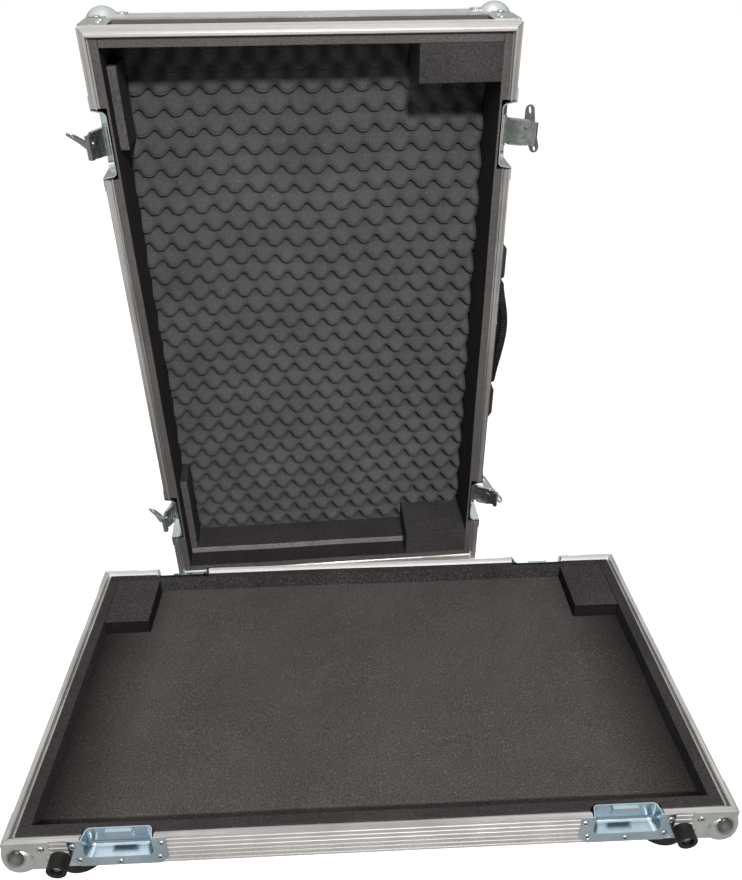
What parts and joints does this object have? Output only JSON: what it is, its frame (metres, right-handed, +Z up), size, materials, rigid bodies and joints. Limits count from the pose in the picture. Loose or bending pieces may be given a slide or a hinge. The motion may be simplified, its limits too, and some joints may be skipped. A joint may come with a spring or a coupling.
{
  "type": "dj controller case",
  "caption": "Flight case in two halves for a desktop controller: a low foam-lined tray on rubber feet and a deep lift-off lid with twist latches and a strap handle, stood on end behind it.",
  "frame": {"origin": "centre of the bounding box at floor level, under the tray's rear part", "axes": "+X along the tray's length, +Y from the tray towards the standing lid, +Z up"},
  "size_m": [0.8092, 0.7239, 0.8056],
  "materials": {
    "black_laminate": "plywood faced with grained black laminate",
    "fluted_aluminium": "drawn and anodised, satin",
    "zinc_steel": "pressed sheet, bright zinc plate with a blue cast",
    "latch_steel": "bright zinc plate, lightly tarnished",
    "fastener_steel": "bright",
    "black_rubber": "matt moulded rubber",
    "black_plastic": "moulded, lightly grained",
    "grey_foam": "open-cell foam, matt"
  },
  "bodies": {
    "base": {"base_ball_corners": "zinc_steel", "base_bottom_panel": "black_laminate", "base_catch_dishes": "zinc_steel", "base_corner_blocks": "grey_foam", "base_edge_angles": "fluted_aluminium", "base_end_linings": "grey_foam", "base_feet": "black_rubber", "base_floor_foam": "grey_foam", "base_foot_screws": "fastener_steel", "base_front_lining": "grey_foam", "base_front_rail": "fluted_aluminium", "base_front_wall": "black_laminate", "base_keepers": "zinc_steel", "base_left_rail": "fluted_aluminium", "base_left_wall": "black_laminate", "base_rear_lining": "grey_foam", "base_rear_rail": "fluted_aluminium", "base_rear_wall": "black_laminate", "base_right_rail": "fluted_aluminium", "base_right_wall": "black_laminate", "base_rivets": "fastener_steel", "side_feet": "black_rubber", "side_foot_screws": "fastener_steel"},
    "lid": {"handle_caps": "black_plastic", "handle_screws": "fastener_steel", "handle_strap": "black_rubber", "lid_back_panel": "black_laminate", "lid_ball_corners": "zinc_steel", "lid_corner_blocks": "grey_foam", "lid_corner_braces": "zinc_steel", "lid_edge_angles": "fluted_aluminium", "lid_end_linings": "grey_foam", "lid_end_rails": "fluted_aluminium", "lid_end_strip": "grey_foam", "lid_end_walls": "black_laminate", "lid_handle_side_wall": "black_laminate", "lid_hinge_pins": "latch_steel", "lid_latch_dishes": "zinc_steel", "lid_long_rails": "fluted_aluminium", "lid_plain_side_wall": "black_laminate", "lid_rivets": "fastener_steel", "lid_side_linings": "grey_foam", "lid_side_strips": "grey_foam", "lid_wave_foam": "grey_foam"},
    "latch_bottom_handle_arm": {"latch_bottom_handle_arm": "latch_steel"},
    "latch_bottom_handle_hook": {"latch_bottom_handle_hook": "latch_steel"},
    "latch_bottom_handle_rotor": {"latch_bottom_handle_rotor": "latch_steel"},
    "latch_bottom_handle_wing": {"latch_bottom_handle_wing": "latch_steel"},
    "latch_bottom_plain_arm": {"latch_bottom_plain_arm": "latch_steel"},
    "latch_bottom_plain_hook": {"latch_bottom_plain_hook": "latch_steel"},
    "latch_bottom_plain_rotor": {"latch_bottom_plain_rotor": "latch_steel"},
    "latch_bottom_plain_wing": {"latch_bottom_plain_wing": "latch_steel"},
    "latch_top_handle_arm": {"latch_top_handle_arm": "latch_steel"},
    "latch_top_handle_hook": {"latch_top_handle_hook": "latch_steel"},
    "latch_top_handle_rotor": {"latch_top_handle_rotor": "latch_steel"},
    "latch_top_handle_wing": {"latch_top_handle_wing": "latch_steel"},
    "latch_top_plain_arm": {"latch_top_plain_arm": "latch_steel"},
    "latch_top_plain_hook": {"latch_top_plain_hook": "latch_steel"},
    "latch_top_plain_rotor": {"latch_top_plain_rotor": "latch_steel"},
    "latch_top_plain_wing": {"latch_top_plain_wing": "latch_steel"}
  },
  "joints": [
    {"name": "lid_lift", "type": "slide", "parent": "base", "child": "lid", "axis": [0, 0, 1], "range_m": [0, 0.3]},
    {"name": "top_plain_swing", "type": "hinge", "parent": "lid", "child": "latch_top_plain_arm", "pos_m": [-0.28999, 0.18006, 0.66955], "axis": [-0.0045, 0.0946, -0.9955], "range_deg": [-24, 41]},
    {"name": "top_plain_twist", "type": "hinge", "parent": "latch_top_plain_arm", "child": "latch_top_plain_rotor", "pos_m": [-0.2987, 0.1578, 0.66747], "axis": [-0.9318, 0.3609, 0.0385], "range_deg": [-125, 55]},
    {"name": "top_plain_fold", "type": "hinge", "parent": "latch_top_plain_rotor", "child": "latch_top_plain_wing", "pos_m": [-0.30466, 0.16011, 0.66772], "axis": [-0.2947, -0.8142, 0.5001], "range_deg": [0, 88]},
    {"name": "top_plain_hook", "type": "slide", "parent": "latch_top_plain_arm", "child": "latch_top_plain_hook", "axis": [-0.363, -0.9278, -0.0865], "range_m": [-0.00557, 0.00245]},
    {"name": "top_handle_swing", "type": "hinge", "parent": "lid", "child": "latch_top_handle_arm", "pos_m": [0.18947, 0.20293, 0.66955], "axis": [0.0045, -0.0946, 0.9955], "range_deg": [-57, 8]},
    {"name": "top_handle_twist", "type": "hinge", "parent": "latch_top_handle_arm", "child": "latch_top_handle_rotor", "pos_m": [0.21019, 0.19089, 0.66831], "axis": [0.5043, 0.8599, 0.0794], "range_deg": [-167, 13]},
    {"name": "top_handle_fold", "type": "hinge", "parent": "latch_top_handle_rotor", "child": "latch_top_handle_wing", "pos_m": [0.21342, 0.19639, 0.66882], "axis": [0.1899, -0.0207, -0.9816], "range_deg": [-40, 48]},
    {"name": "top_handle_hook", "type": "slide", "parent": "latch_top_handle_arm", "child": "latch_top_handle_hook", "axis": [0.8635, -0.5016, -0.0516], "range_m": [-0.00743, 0.00059]},
    {"name": "bottom_plain_swing", "type": "hinge", "parent": "lid", "child": "latch_bottom_plain_arm", "pos_m": [-0.29247, 0.23208, 0.12202], "axis": [-0.0045, 0.0946, -0.9955], "range_deg": [-20, 45]},
    {"name": "bottom_plain_twist", "type": "hinge", "parent": "latch_bottom_plain_arm", "child": "latch_bottom_plain_rotor", "pos_m": [-0.2996, 0.20927, 0.11988], "axis": [-0.9548, 0.2953, 0.0324], "range_deg": [-150, 30]},
    {"name": "bottom_plain_fold", "type": "hinge", "parent": "latch_bottom_plain_rotor", "child": "latch_bottom_plain_wing", "pos_m": [-0.30571, 0.21116, 0.12009], "axis": [-0.1446, -0.5573, 0.8176], "range_deg": [0, 88]},
    {"name": "bottom_plain_hook", "type": "slide", "parent": "latch_bottom_plain_arm", "child": "latch_bottom_plain_hook", "axis": [-0.2971, -0.9507, -0.089], "range_m": [-0.00668, 0.00134]},
    {"name": "bottom_handle_swing", "type": "hinge", "parent": "lid", "child": "latch_bottom_handle_arm", "pos_m": [0.18699, 0.25495, 0.12202], "axis": [0.0045, -0.0946, 0.9955], "range_deg": [-58, 7]},
    {"name": "bottom_handle_twist", "type": "hinge", "parent": "latch_bottom_handle_arm", "child": "latch_bottom_handle_rotor", "pos_m": [0.20792, 0.24327, 0.12081], "axis": [0.4891, 0.8685, 0.0803], "range_deg": [-135, 45]},
    {"name": "bottom_handle_fold", "type": "hinge", "parent": "latch_bottom_handle_rotor", "child": "latch_bottom_handle_wing", "pos_m": [0.21105, 0.24883, 0.12133], "axis": [0.6136, -0.2772, -0.7394], "range_deg": [-10, 78]},
    {"name": "bottom_handle_hook", "type": "slide", "parent": "latch_bottom_handle_arm", "child": "latch_bottom_handle_hook", "axis": [0.8722, -0.4865, -0.0502], "range_m": [-0.00601, 0.00201]}
  ],
  "couplings": [
    {"joint": "top_plain_hook", "follows": "top_plain_twist", "m_per_rad": 0.0025465},
    {"joint": "top_handle_hook", "follows": "top_handle_twist", "m_per_rad": 0.0025465},
    {"joint": "bottom_plain_hook", "follows": "bottom_plain_twist", "m_per_rad": 0.0025465},
    {"joint": "bottom_handle_hook", "follows": "bottom_handle_twist", "m_per_rad": 0.0025465}
  ]
}
